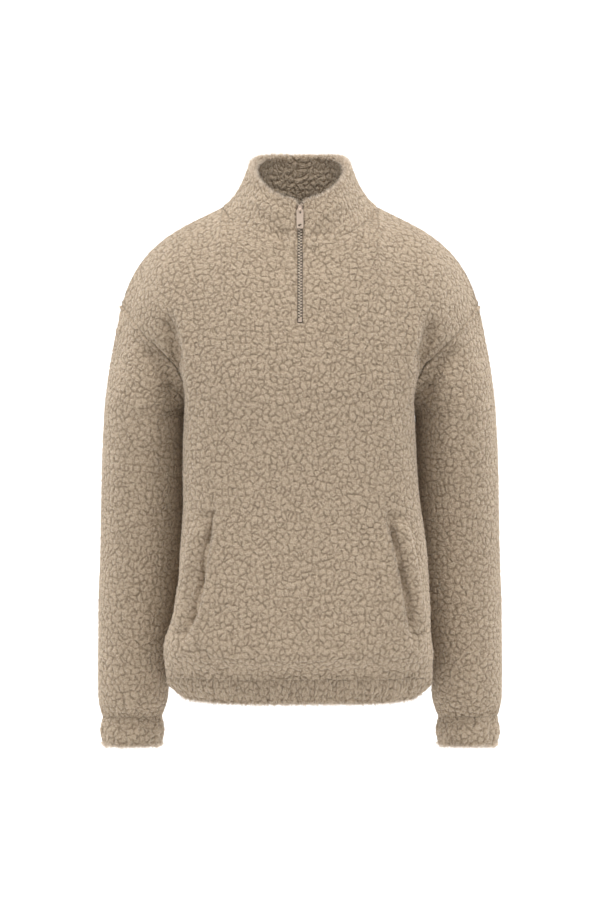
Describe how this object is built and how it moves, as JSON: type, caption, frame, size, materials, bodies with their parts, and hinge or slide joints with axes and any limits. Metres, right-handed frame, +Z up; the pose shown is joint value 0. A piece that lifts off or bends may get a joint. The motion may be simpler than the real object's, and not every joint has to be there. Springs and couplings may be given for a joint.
{
  "type": "fleece pullover",
  "caption": "Hollow sherpa fleece pullover in its worn form, with a stand collar, a half zip, drop shoulders, slanted welt pockets, and a self-fabric hem band and cuffs.",
  "frame": {"origin": "centre of the neck, level with the points where the shoulder seams meet the collar, where a wearer holds the garment up", "axes": "+Z up, -Y to the front, +X to the wearer's left"},
  "size_m": [0.5696, 0.2581, 0.8353],
  "materials": {
    "sherpa": "curly pile, matt",
    "zip_tape": "woven tape, matt",
    "zip_chain": "satin coil",
    "zip_metal": "satin, brushed along its length"
  },
  "bodies": {
    "garment": {"front_panel": "sherpa", "back_panel": "sherpa", "sleeve_left": "sherpa", "sleeve_right": "sherpa", "cuff_left": "sherpa", "cuff_right": "sherpa", "hem_band": "sherpa", "collar": "sherpa", "pocket_welt_left": "sherpa", "pocket_welt_right": "sherpa", "zip_tape_left": "zip_tape", "zip_tape_right": "zip_tape", "zip_chain": "zip_chain", "zip_bottom_stop": "zip_metal", "zip_top_stop_left": "zip_metal", "zip_top_stop_right": "zip_metal", "zip_slider": "zip_metal"},
    "pull_tab": {"pull_tab": "zip_metal"}
  },
  "joints": [
    {"name": "pull_tab_hinge", "type": "hinge", "parent": "garment", "child": "pull_tab", "pos_m": [0, -0.08087, -0.01796], "axis": [-1, 0, 0], "range_deg": [0, 160]}
  ]
}
